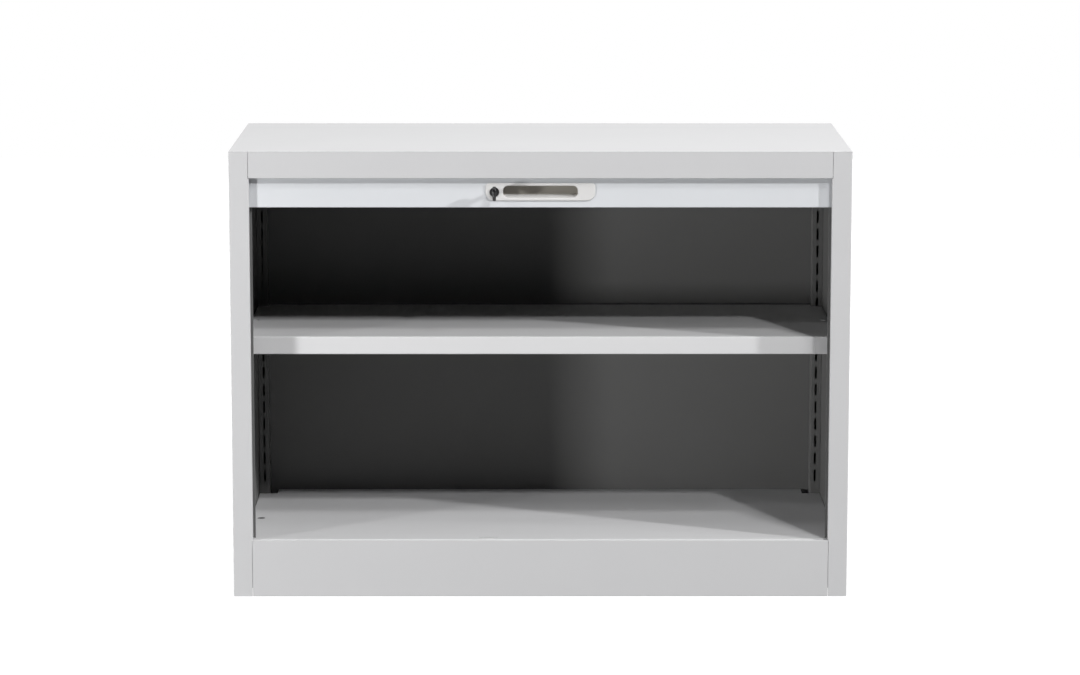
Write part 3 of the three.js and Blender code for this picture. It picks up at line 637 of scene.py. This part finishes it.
RAIL_WHITE = (0.726, 0.743, 0.768)
RAIL_WHITE_SHADE = (0.697, 0.714, 0.739)
BLACK = (0.012, 0.012, 0.013)
BLACK_SHADE = (0.009, 0.009, 0.01)
RAIL_FOLDS = (0.9 * MM, 0.4 * MM, 0.2 * MM)
CAP_FOLDS = (0.6 * MM, 0.3 * MM, 0.3 * MM)
rail_paint = grained(
    "rail_paint", RAIL_WHITE, RAIL_WHITE_SHADE, rough=0.38, grain=1200.0, height=0.02 * MM
)
black = grained(
    "black_plastic", BLACK, BLACK_SHADE, rough=0.38, grain=1500.0, height=0.02 * MM
)
folded("end_rail", "end_rail", rail_paint, widths=RAIL_FOLDS)
for side in SIDES:
    folded(f"end_rail_cap_{side}", "end_rail", black, widths=CAP_FOLDS)

# Handle
# One plastic moulding: a plate on the rail's face with a grip cup that is let into the rail.
# The plate has small rounds at its upper corners and larger ones at the lower.

HANDLE_WHITE = (0.737, 0.73, 0.722)
HANDLE_WHITE_SHADE = (0.707, 0.70, 0.692)
# painted shade: the dark grey painted inside the grip cup
CUP_PAINTED_SHADE = (0.30, 0.282, 0.247)
handle_white = grained(
    "handle_plastic",
    HANDLE_WHITE,
    HANDLE_WHITE_SHADE,
    rough=0.40,
    grain=1700.0,
    height=0.02 * MM,
)
CORNER_STEPS = 8
PLATE_THICKNESS = 2 * MM
PLATE_TOP_ROUND = 6 * MM
PLATE_LOW_ROUND = 14 * MM
PLATE_BACK_EDGE = 0.2 * MM
CUP_HALF = 60.25 * MM
CUP_LOW = 5.2 * MM
CUP_HIGH = 24.3 * MM
CUP_ROUND = 8 * MM
CUP_WALL = 1.5 * MM
LEDGE_RISE = 2.8 * MM

# the steps of the rounded edges in millimetres, as (sideways, along the depth)
PLATE_EDGE = ((0, 1.1), (0.25, 0.5), (0.8, 0.12), (1.7, 0))
CUP_MOUTH_EDGE = ((1.3, 0), (0.6, 0.12), (0.15, 0.5), (0, 1.2))
CUP_BACK_EDGE = ((0.9, 0), (0.2, 0.3), (0, 1))

# the same for the cup's floor, and last how much more the ledge rises there
CUP_FLOOR_EDGE = ((0.2, 1.2, 0), (0.6, 0.3, 0.2), (1.4, 0, 0.4))

low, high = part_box("handle_shell")
plate_front = low.y
plate_back = plate_front + PLATE_THICKNESS
cup_back = high.y - CUP_WALL


def corner_ring(left, right, bottom, top, low_round, top_round, y):
    """Points round a rectangle with rounded corners, facing the front."""
    points = []
    corners = (
        (right - low_round, bottom + low_round, low_round, -90),
        (right - top_round, top - top_round, top_round, 0),
        (left + top_round, top - top_round, top_round, 90),
        (left + low_round, bottom + low_round, low_round, 180),
    )
    for x, z, radius, start in corners:
        for step in range(CORNER_STEPS + 1):
            turn = math.radians(start + step * 90 / CORNER_STEPS)
            points.append((x + radius * math.cos(turn), y, z + radius * math.sin(turn)))
    return points


def plate_ring(inset, y):
    """Points round the plate, drawn in by an inset."""
    return corner_ring(
        low.x + inset,
        high.x - inset,
        low.z + inset,
        high.z - inset,
        PLATE_LOW_ROUND - inset,
        PLATE_TOP_ROUND - inset,
        y,
    )


def cup_ring(grow, y, rise=0.0):
    """Points round the cup, made larger all round, and with its bottom raised."""
    middle = (low.x + high.x) / 2
    radius = CUP_ROUND + grow
    return corner_ring(
        middle - CUP_HALF - grow,
        middle + CUP_HALF + grow,
        low.z + CUP_LOW - grow + rise,
        low.z + CUP_HIGH + grow,
        radius - rise / 2,
        radius,
        y,
    )


def lofted(rings, closed=False, capped=False):
    """A bmesh through rings of equal counts."""
    mesh = bmesh.new()
    made = [[mesh.verts.new(p) for p in ring] for ring in rings]
    pairs = list(zip(made, made[1:])) + ([(made[-1], made[0])] if closed else [])
    for one, two in pairs:
        for k in range(len(one)):
            n = (k + 1) % len(one)
            mesh.faces.new((one[k], one[n], two[n], two[k]))
    if capped:
        mesh.faces.new(made[0])
        mesh.faces.new(made[-1])
    bmesh.ops.recalc_face_normals(mesh, faces=mesh.faces)
    return mesh


shell_rings = []
for inwards, depth in CUP_BACK_EDGE:
    shell_rings.append(cup_ring(CUP_WALL - inwards * MM, cup_back + CUP_WALL - depth * MM))
shell_rings.append(cup_ring(CUP_WALL, plate_back))
shell_rings.append(plate_ring(PLATE_BACK_EDGE, plate_back))
shell_rings.append(plate_ring(0, plate_back - PLATE_BACK_EDGE))
for inwards, depth in PLATE_EDGE:
    shell_rings.append(plate_ring(inwards * MM, plate_front + depth * MM))
for outwards, depth in CUP_MOUTH_EDGE:
    shell_rings.append(cup_ring(outwards * MM, plate_front + depth * MM))
for inwards, depth, rise in CUP_FLOOR_EDGE:
    shell_rings.append(cup_ring(-inwards * MM, cup_back - depth * MM, LEDGE_RISE + rise * MM))
handle = loose_object("handle_shell_moulding", lofted(shell_rings, capped=True))

# the lock's body goes through the plate
LOCK_HOLE_RADIUS = 7.3 * MM
DRILL_LENGTH = 8 * MM
lock_low, lock_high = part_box("lock_housing")
bpy.ops.mesh.primitive_cylinder_add(
    vertices=ROUND_STEPS,
    radius=LOCK_HOLE_RADIUS,
    depth=DRILL_LENGTH,
    location=((lock_low.x + lock_high.x) / 2, plate_front, (lock_low.z + lock_high.z) / 2),
    rotation=(math.pi / 2, 0, 0),
)
drill = bpy.context.active_object
hole = handle.modifiers.new("lock_hole", "BOOLEAN")
hole.operation = "DIFFERENCE"
hole.solver = "EXACT"
hole.object = drill
bpy.context.view_layer.update()
graph = bpy.context.evaluated_depsgraph_get()
drilled = bpy.data.meshes.new_from_object(handle.evaluated_get(graph))
handle.modifiers.clear()
handle.data = drilled
bpy.data.objects.remove(drill)
even_faces(handle)

# painted shade: the cup's inside is coloured darker where shade falls in it, all but the lit ledge
# along its bottom
PAINTED_SHADE_START = 1 * MM
PAINTED_SHADE_FULL = 3.5 * MM
PAINTED_SHADE_RISE = 1.2 * MM
ledge_top = low.z + CUP_LOW + LEDGE_RISE
tree, shader, add = nodes_of(handle_white)
tint = shader.inputs["Base Color"].links[0].from_socket
place = add("ShaderNodeTexCoord")
parts = add("ShaderNodeSeparateXYZ")
inwards = add("ShaderNodeMapRange")
inwards.inputs["From Min"].default_value = plate_front + PAINTED_SHADE_START
inwards.inputs["From Max"].default_value = plate_front + PAINTED_SHADE_FULL
above = add("ShaderNodeMapRange")
above.inputs["From Min"].default_value = ledge_top
above.inputs["From Max"].default_value = ledge_top + PAINTED_SHADE_RISE
inside = add("ShaderNodeMath", operation="MULTIPLY")
shaded = add("ShaderNodeMix", data_type="RGBA")
shaded.inputs[MIX_SECOND].default_value = (*CUP_PAINTED_SHADE, 1)
tree.links.new(place.outputs["Object"], parts.inputs[0])
tree.links.new(parts.outputs["Y"], inwards.inputs["Value"])
tree.links.new(parts.outputs["Z"], above.inputs["Value"])
tree.links.new(inwards.outputs[0], inside.inputs[0])
tree.links.new(above.outputs[0], inside.inputs[1])
tree.links.new(inside.outputs[0], shaded.inputs["Factor"])
tree.links.new(tint, shaded.inputs[MIX_FIRST])
tree.links.new(shaded.outputs[MIX_RESULT], shader.inputs["Base Color"])
settle(handle, "end_rail", handle_white)
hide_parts("handle_shell")

# Lock and key
# A black plastic housing through the plate, held by a nut behind, a steel cylinder with a hook
# that is screwed to its end, and a steel key with a black moulded grip.

LOCK_GREY = (0.07, 0.07, 0.072)
LOCK_GREY_SHADE = (0.05, 0.05, 0.052)
KEY_GREY = (0.62, 0.62, 0.62)
KEY_GREY_SHADE = (0.55, 0.55, 0.55)
KEY_METAL = 0.95
STEEL_GRAIN = 500.0
STEEL_GRAIN_HEIGHT = 0.01 * MM
gloss_black = grained(
    "gloss_black", BLACK, BLACK_SHADE, rough=0.22, grain=900.0, height=0.01 * MM
)
lock_steel = grained(
    "lock_steel",
    LOCK_GREY,
    LOCK_GREY_SHADE,
    rough=0.4,
    grain=STEEL_GRAIN,
    height=STEEL_GRAIN_HEIGHT,
    metal=METAL,
)
key_steel = grained(
    "key_steel",
    KEY_GREY,
    KEY_GREY_SHADE,
    rough=0.30,
    grain=STEEL_GRAIN,
    height=STEEL_GRAIN_HEIGHT,
    metal=KEY_METAL,
)
FINE_FOLDS = (0.3 * MM, 0.2 * MM, 0.2 * MM)
NUT_FOLDS = (0.6 * MM, 0.2 * MM, 0.2 * MM)

FLANGE_THICKNESS = 1.5 * MM
FLANGE_EDGE = 0.6 * MM
FLANGE_EDGE_STEP = 0.2 * MM
BODY_RADIUS = 7 * MM
BODY_EDGE = 0.4 * MM
BORE_PLAY = 0.1 * MM
MOUTH_DEPTH = 0.9 * MM
MOUTH_WIDTH = 0.3 * MM
MOUTH_RISE = 0.4 * MM
low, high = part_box("lock_housing")
flange_radius = (high.x - low.x) / 2
housing_length = high.y - low.y
cylinder_low, cylinder_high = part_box("lock_cylinder")
bore = (cylinder_high.x - cylinder_low.x) / 2 + BORE_PLAY
housing = turned(
    "lock_housing_moulding",
    [
        (bore + MOUTH_WIDTH, MOUTH_RISE),
        (bore + 2 * MOUTH_WIDTH, 0),
        (flange_radius - FLANGE_EDGE, 0),
        (flange_radius - FLANGE_EDGE_STEP, FLANGE_EDGE_STEP),
        (flange_radius, FLANGE_EDGE),
        (flange_radius, FLANGE_THICKNESS),
        (BODY_RADIUS, FLANGE_THICKNESS),
        (BODY_RADIUS, housing_length - BODY_EDGE),
        (BODY_RADIUS - BODY_EDGE, housing_length),
        (bore, housing_length),
        (bore, MOUTH_DEPTH),
    ],
    ((low.x + high.x) / 2, low.y, (low.z + high.z) / 2),
    TO_BACK,
    "end_rail",
    gloss_black,
)
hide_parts("lock_housing")
folded("lock_nut", "end_rail", zinc, widths=NUT_FOLDS)
folded("lock_cylinder", "lock_cylinder", lock_steel, widths=FINE_FOLDS)
folded("lock_cam", "lock_cylinder", zinc, widths=FINE_FOLDS)

SOCKET_RADIUS = 2.1 * MM
SOCKET_DEPTH = 1.2 * MM
HEAD_EDGE = 0.8 * MM
HEAD_EDGE_DEPTH = 1 * MM
HEAD_EDGE_STEP = 0.2 * MM
HEAD_STEP_DEPTH = 0.4 * MM
SCREW_STEPS = 30
low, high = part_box("cam_screw")
head_radius = (high.x - low.x) / 2
head = high.y - low.y
screw = turned(
    "cam_screw_head",
    [
        (0, head - SOCKET_DEPTH),
        (SOCKET_RADIUS, head - SOCKET_DEPTH),
        (SOCKET_RADIUS, head),
        (head_radius - HEAD_EDGE, head),
        (head_radius - HEAD_EDGE_STEP, head - HEAD_STEP_DEPTH),
        (head_radius, head - HEAD_EDGE_DEPTH),
        (head_radius, 0),
        (0, 0),
    ],
    ((low.x + high.x) / 2, low.y, (low.z + high.z) / 2),
    TO_BACK,
    "lock_cylinder",
    zinc,
    steps=SCREW_STEPS,
)
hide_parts("cam_screw")
folded("key_blade", "key", key_steel, widths=FINE_FOLDS)

BOW_CORNER = 8 * MM
BOW_RIM = 1.8 * MM
BOW_STEPS = 10
RING_HOLE = 2.8 * MM
RING_HOLE_EDGE = 2.2 * MM
RING_HOLE_START = 0.1
DISH_DEPTH = 0.5 * MM
DISH_EDGE = 2.4 * MM

# the steps of the bow's rounded edge in millimetres, as (across the bow, inwards)
BOW_EDGE = ((0, 1.1), (0.3, 0.5), (0.9, 0.1), (1.8, 0))
low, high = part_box("key_bow")


def bow_ring(x, inset):
    """Points round the bow at one place across it, drawn in by an inset."""
    points = []
    for k in range(4):
        centre_y = (high.y - BOW_CORNER) if k in (0, 3) else (low.y + BOW_CORNER)
        centre_z = (high.z - BOW_CORNER) if k in (0, 1) else (low.z + BOW_CORNER)
        for n in range(BOW_STEPS + 1):
            turn = (k + n / BOW_STEPS) * math.pi / 2
            y = centre_y + (BOW_CORNER - inset) * math.cos(turn)
            z = centre_z + (BOW_CORNER - inset) * math.sin(turn)
            points.append((x, y, z))
    return points


def hole_ring(x):
    """As many points round the bow's ring hole."""
    points = []
    count = 4 * (BOW_STEPS + 1)
    for k in range(count):
        turn = RING_HOLE_START + 2 * math.pi * k / count
        y = low.y + RING_HOLE + RING_HOLE_EDGE + RING_HOLE * math.cos(turn)
        z = (low.z + high.z) / 2 + RING_HOLE * math.sin(turn)
        points.append((x, y, z))
    return points


bow_rings = [
    hole_ring(low.x + DISH_DEPTH),
    bow_ring(low.x + DISH_DEPTH, DISH_EDGE),
    bow_ring(low.x, BOW_RIM),
]
for across, inwards in BOW_EDGE:
    bow_rings.append(bow_ring(low.x + across * MM, inwards * MM))
for across, inwards in BOW_EDGE[::-1]:
    bow_rings.append(bow_ring(high.x - across * MM, inwards * MM))
bow_rings += [
    bow_ring(high.x, BOW_RIM),
    bow_ring(high.x - DISH_DEPTH, DISH_EDGE),
    hole_ring(high.x - DISH_DEPTH),
]
bow = new_piece("key_grip", lofted(bow_rings, closed=True), "key", gloss_black)
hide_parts("key_bow")

# Shelf
# A tray turned down all round, notched at the rear uprights, with a stiffener under its middle.
# Its sides stand on four zinc plated clips that hook into the slots.

folded("shelf", "shelf", tray_painted_light)
folded("shelf_stiffener", "shelf", tray_painted_light)
for end in ENDS:
    for side in SIDES:
        folded(f"shelf_clip_{end}_{side}", "carcase", zinc, widths=FINE_FOLDS)

# Levelling feet
# A zinc plated bracket welded to each corner of the inner sheets, and a threaded stem that is
# screwed through it, with a moulded plastic pad.

BRACKET_FOLDS = (1 * MM, 0.5 * MM, 0.3 * MM)
STEM_STEPS = 20
STEM_CHAMFER = 0.8 * MM
THREAD_PITCH = 1.5 * MM
THREAD_DEPTH = 0.6 * MM
PAD_STEPS = 40
PAD_RECESS = 0.6 * MM
PAD_RECESS_EDGE = 3 * MM
PAD_SOLE_EDGE = 2.4 * MM
PAD_LOW_EDGE = 0.8 * MM
PAD_LOW_RISE = 1 * MM
PAD_RIM_HEIGHT = 5.5 * MM
PAD_RIM_EDGE = 1.2 * MM
HUB_RADIUS = 8 * MM
HUB_FOOT = 1.5 * MM
HUB_FOOT_DROP = 4.5 * MM
HUB_DROP = 3 * MM
HUB_EDGE = 0.6 * MM
STEM_PLAY = 0.1 * MM

# one turn of the thread, as (share of the pitch, share of the depth)
THREAD_SHARES = ((0.1, 0), (0.45, 1), (0.6, 1), (0.95, 0))
for end in ENDS:
    for side in SIDES:
        foot = f"levelling_foot_{end}_{side}"
        folded(
            f"foot_bracket_{end}_{side}", "carcase", zinc, widths=BRACKET_FOLDS
        )
        low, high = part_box(f"foot_stem_{end}_{side}")
        radius = (high.x - low.x) / 2
        length = high.z - low.z
        root = radius - THREAD_DEPTH
        profile = [(0, 0), (root, 0)]
        for k in range(int((length - 2 * STEM_CHAMFER) / THREAD_PITCH)):
            for share, rise in THREAD_SHARES:
                place = STEM_CHAMFER + (k + share) * THREAD_PITCH
                profile.append((root + rise * THREAD_DEPTH, place))
        profile += [(root, length), (0, length)]
        stem = turned(
            f"foot_thread_{end}_{side}",
            profile,
            ((low.x + high.x) / 2, (low.y + high.y) / 2, low.z),
            UPWARDS,
            foot,
            zinc,
            steps=STEM_STEPS,
        )
        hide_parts(f"foot_stem_{end}_{side}")
        pad_low, pad_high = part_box(f"foot_pad_{end}_{side}")
        pad_radius = (pad_high.x - pad_low.x) / 2
        pad_height = pad_high.z - pad_low.z
        socket = radius + STEM_PLAY
        stem_place = low.z - pad_low.z - STEM_PLAY
        pad = turned(
            f"foot_pad_moulding_{end}_{side}",
            [
                (0, PAD_RECESS),
                (pad_radius - PAD_RECESS_EDGE, PAD_RECESS),
                (pad_radius - PAD_SOLE_EDGE, 0),
                (pad_radius - PAD_LOW_EDGE, 0),
                (pad_radius, PAD_LOW_RISE),
                (pad_radius, PAD_RIM_HEIGHT - PAD_RIM_EDGE),
                (pad_radius - PAD_RIM_EDGE, PAD_RIM_HEIGHT),
                (HUB_RADIUS + HUB_FOOT, pad_height - HUB_FOOT_DROP),
                (HUB_RADIUS, pad_height - HUB_DROP),
                (HUB_RADIUS, pad_height - HUB_EDGE),
                (HUB_RADIUS - HUB_EDGE, pad_height),
                (socket, pad_height),
                (socket, stem_place),
                (0, stem_place),
            ],
            ((pad_low.x + pad_high.x) / 2, (pad_low.y + pad_high.y) / 2, pad_low.z),
            UPWARDS,
            foot,
            black,
            steps=PAD_STEPS,
        )
        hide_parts(f"foot_pad_{end}_{side}")

# Studio
# A plain pale floor, a white backdrop, seven square lamps and the camera of the photograph. The
# strongest lamps stand high on the right, and one stands low on the left.

FRONT_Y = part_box("header_panel")[0].y
scene = bpy.context.scene
scene.view_settings.view_transform = "Standard"


def seen_directly(tree):
    """A value of 1 for what the camera, a reflection or a clear piece shows, and 0 for light."""
    path = tree.nodes.new("ShaderNodeLightPath")
    total = path.outputs["Is Camera Ray"]
    for other in ("Is Glossy Ray", "Is Transmission Ray"):
        either = tree.nodes.new("ShaderNodeMath")
        either.operation = "MAXIMUM"
        tree.links.new(total, either.inputs[0])
        tree.links.new(path.outputs[other], either.inputs[1])
        total = either.outputs[0]
    return path, total


WHITE = (1, 1, 1, 1)
FLOOR_GREY = (0.2, 0.2, 0.2, 1)
FLOOR_ROUGH = 0.9
FLOOR_HALF = 6.0
FLOOR_GLOW = 0.88
GLOW_NEAR = 0.9
GLOW_FAR = 2.2
floor_paint = bpy.data.materials.new("studio_floor")
tree, shader, add = nodes_of(floor_paint)
shader.inputs["Base Color"].default_value = FLOOR_GREY
shader.inputs["Roughness"].default_value = FLOOR_ROUGH
shader.inputs["Emission Color"].default_value = WHITE
path, shown = seen_directly(tree)
glow = add("ShaderNodeMath", operation="MULTIPLY")
place = add("ShaderNodeTexCoord")
distance = add("ShaderNodeVectorMath", operation="LENGTH")
far = add("ShaderNodeMapRange")
far.interpolation_type = "SMOOTHSTEP"
far.inputs["From Min"].default_value = GLOW_NEAR
far.inputs["From Max"].default_value = GLOW_FAR
far.inputs["To Min"].default_value = FLOOR_GLOW
far.inputs["To Max"].default_value = 1.0
tree.links.new(place.outputs["Object"], distance.inputs[0])
tree.links.new(distance.outputs["Value"], far.inputs["Value"])
tree.links.new(shown, glow.inputs[0])
tree.links.new(far.outputs[0], glow.inputs[1])
tree.links.new(glow.outputs[0], shader.inputs["Emission Strength"])
floor_mesh = bpy.data.meshes.new("floor")
corners = [(x * FLOOR_HALF, y * FLOOR_HALF, 0) for x, y in ((-1, -1), (1, -1), (1, 1), (-1, 1))]
floor_mesh.from_pydata(corners, [], [(0, 1, 2, 3)])
floor_mesh.materials.append(floor_paint)
floor = bpy.data.objects.new("floor", floor_mesh)
scene.collection.objects.link(floor)

# the backdrop lights the cabinet's back and shows in reflections
BACKDROP_LIGHT = 0.9
BACKDROP_START = -0.1
BACKDROP_FULL = 0.5
world = bpy.data.worlds.new("studio")
scene.world = world
world.use_nodes = True
tree = world.node_tree
path, shown = seen_directly(tree)
direction = tree.nodes.new("ShaderNodeTexCoord")
parts = tree.nodes.new("ShaderNodeSeparateXYZ")
behind = tree.nodes.new("ShaderNodeMapRange")
behind.inputs["From Min"].default_value = BACKDROP_START
behind.inputs["From Max"].default_value = BACKDROP_FULL
level = tree.nodes.new("ShaderNodeMapRange")
level.inputs["To Min"].default_value = BACKDROP_LIGHT
product = tree.nodes.new("ShaderNodeMath")
product.operation = "MULTIPLY"
strength = tree.nodes.new("ShaderNodeMath")
strength.operation = "MAXIMUM"
background = tree.nodes["Background"]
background.inputs["Color"].default_value = WHITE
tree.links.new(direction.outputs["Generated"], parts.inputs[0])
tree.links.new(parts.outputs["Y"], behind.inputs["Value"])
tree.links.new(shown, level.inputs["Value"])
tree.links.new(behind.outputs[0], product.inputs[0])
tree.links.new(level.outputs[0], product.inputs[1])
tree.links.new(product.outputs[0], strength.inputs[0])
tree.links.new(path.outputs["Is Camera Ray"], strength.inputs[1])
tree.links.new(strength.outputs[0], background.inputs["Strength"])

JAMB_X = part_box("header_panel")[1].x
LAMP_AIM_HEIGHT = 0.4


def softbox(name, aim_x, azimuth, rise, distance, size, power):
    """A square lamp; azimuth counts to the right of the front, and rise is seen from the side."""
    lamp = bpy.data.lights.new(name, "AREA")
    lamp.shape = "SQUARE"
    lamp.size = size
    lamp.energy = power
    obj = bpy.data.objects.new(name, lamp)
    scene.collection.objects.link(obj)
    sideways = math.tan(math.radians(azimuth))
    upwards = math.tan(math.radians(rise))
    away = Vector((sideways, -1, upwards)).normalized()
    obj.location = Vector((aim_x, FRONT_Y, LAMP_AIM_HEIGHT)) + away * distance
    obj.rotation_mode = "QUATERNION"
    obj.rotation_quaternion = away.to_track_quat("Z", "Y")


softbox("lamp_front_right", JAMB_X, azimuth=23, rise=42.5, distance=7.0, size=0.3, power=123)
softbox("lamp_high_right", JAMB_X, azimuth=30, rise=60, distance=7.0, size=0.8, power=130)
softbox("lamp_right", JAMB_X, azimuth=64, rise=47, distance=8.0, size=0.3, power=370)
softbox("lamp_far_right", JAMB_X, azimuth=75, rise=66, distance=8.0, size=0.4, power=40)
softbox("lamp_left", -JAMB_X, azimuth=-52.2, rise=-1, distance=3.5, size=0.35, power=76)
softbox("lamp_high_left", -JAMB_X, azimuth=-51, rise=52, distance=3.5, size=0.15, power=12)
softbox("lamp_top", 0, azimuth=0, rise=84, distance=3.0, size=1.2, power=20)

PITCH = math.radians(9.34)
YAW = math.radians(0.138)
ROLL = math.radians(0.020)
CAMERA_X = -0.015
CAMERA_DISTANCE = 5.950
CAMERA_HEIGHT = 1.407
SENSOR = 36.0
PHOTO_WIDTH = 1080
FOCAL_PIXELS = 3735
camera_data = bpy.data.cameras.new("camera")
camera_data.sensor_width = SENSOR
camera_data.lens = FOCAL_PIXELS / PHOTO_WIDTH * SENSOR
camera = bpy.data.objects.new("camera", camera_data)
scene.collection.objects.link(camera)
forward = Vector(
    (math.sin(YAW) * math.cos(PITCH), math.cos(YAW) * math.cos(PITCH), -math.sin(PITCH))
)
right = forward.cross(Vector(UPWARDS)).normalized()
up = right.cross(forward)
right_rolled = right * math.cos(ROLL) + up * math.sin(ROLL)
up_rolled = right_rolled.cross(forward)
camera_turn = Matrix((right_rolled, up_rolled, -forward)).transposed().to_4x4()
camera_place = Matrix.Translation((CAMERA_X, FRONT_Y - CAMERA_DISTANCE, CAMERA_HEIGHT))
camera.matrix_world = camera_place @ camera_turn
scene.camera = camera
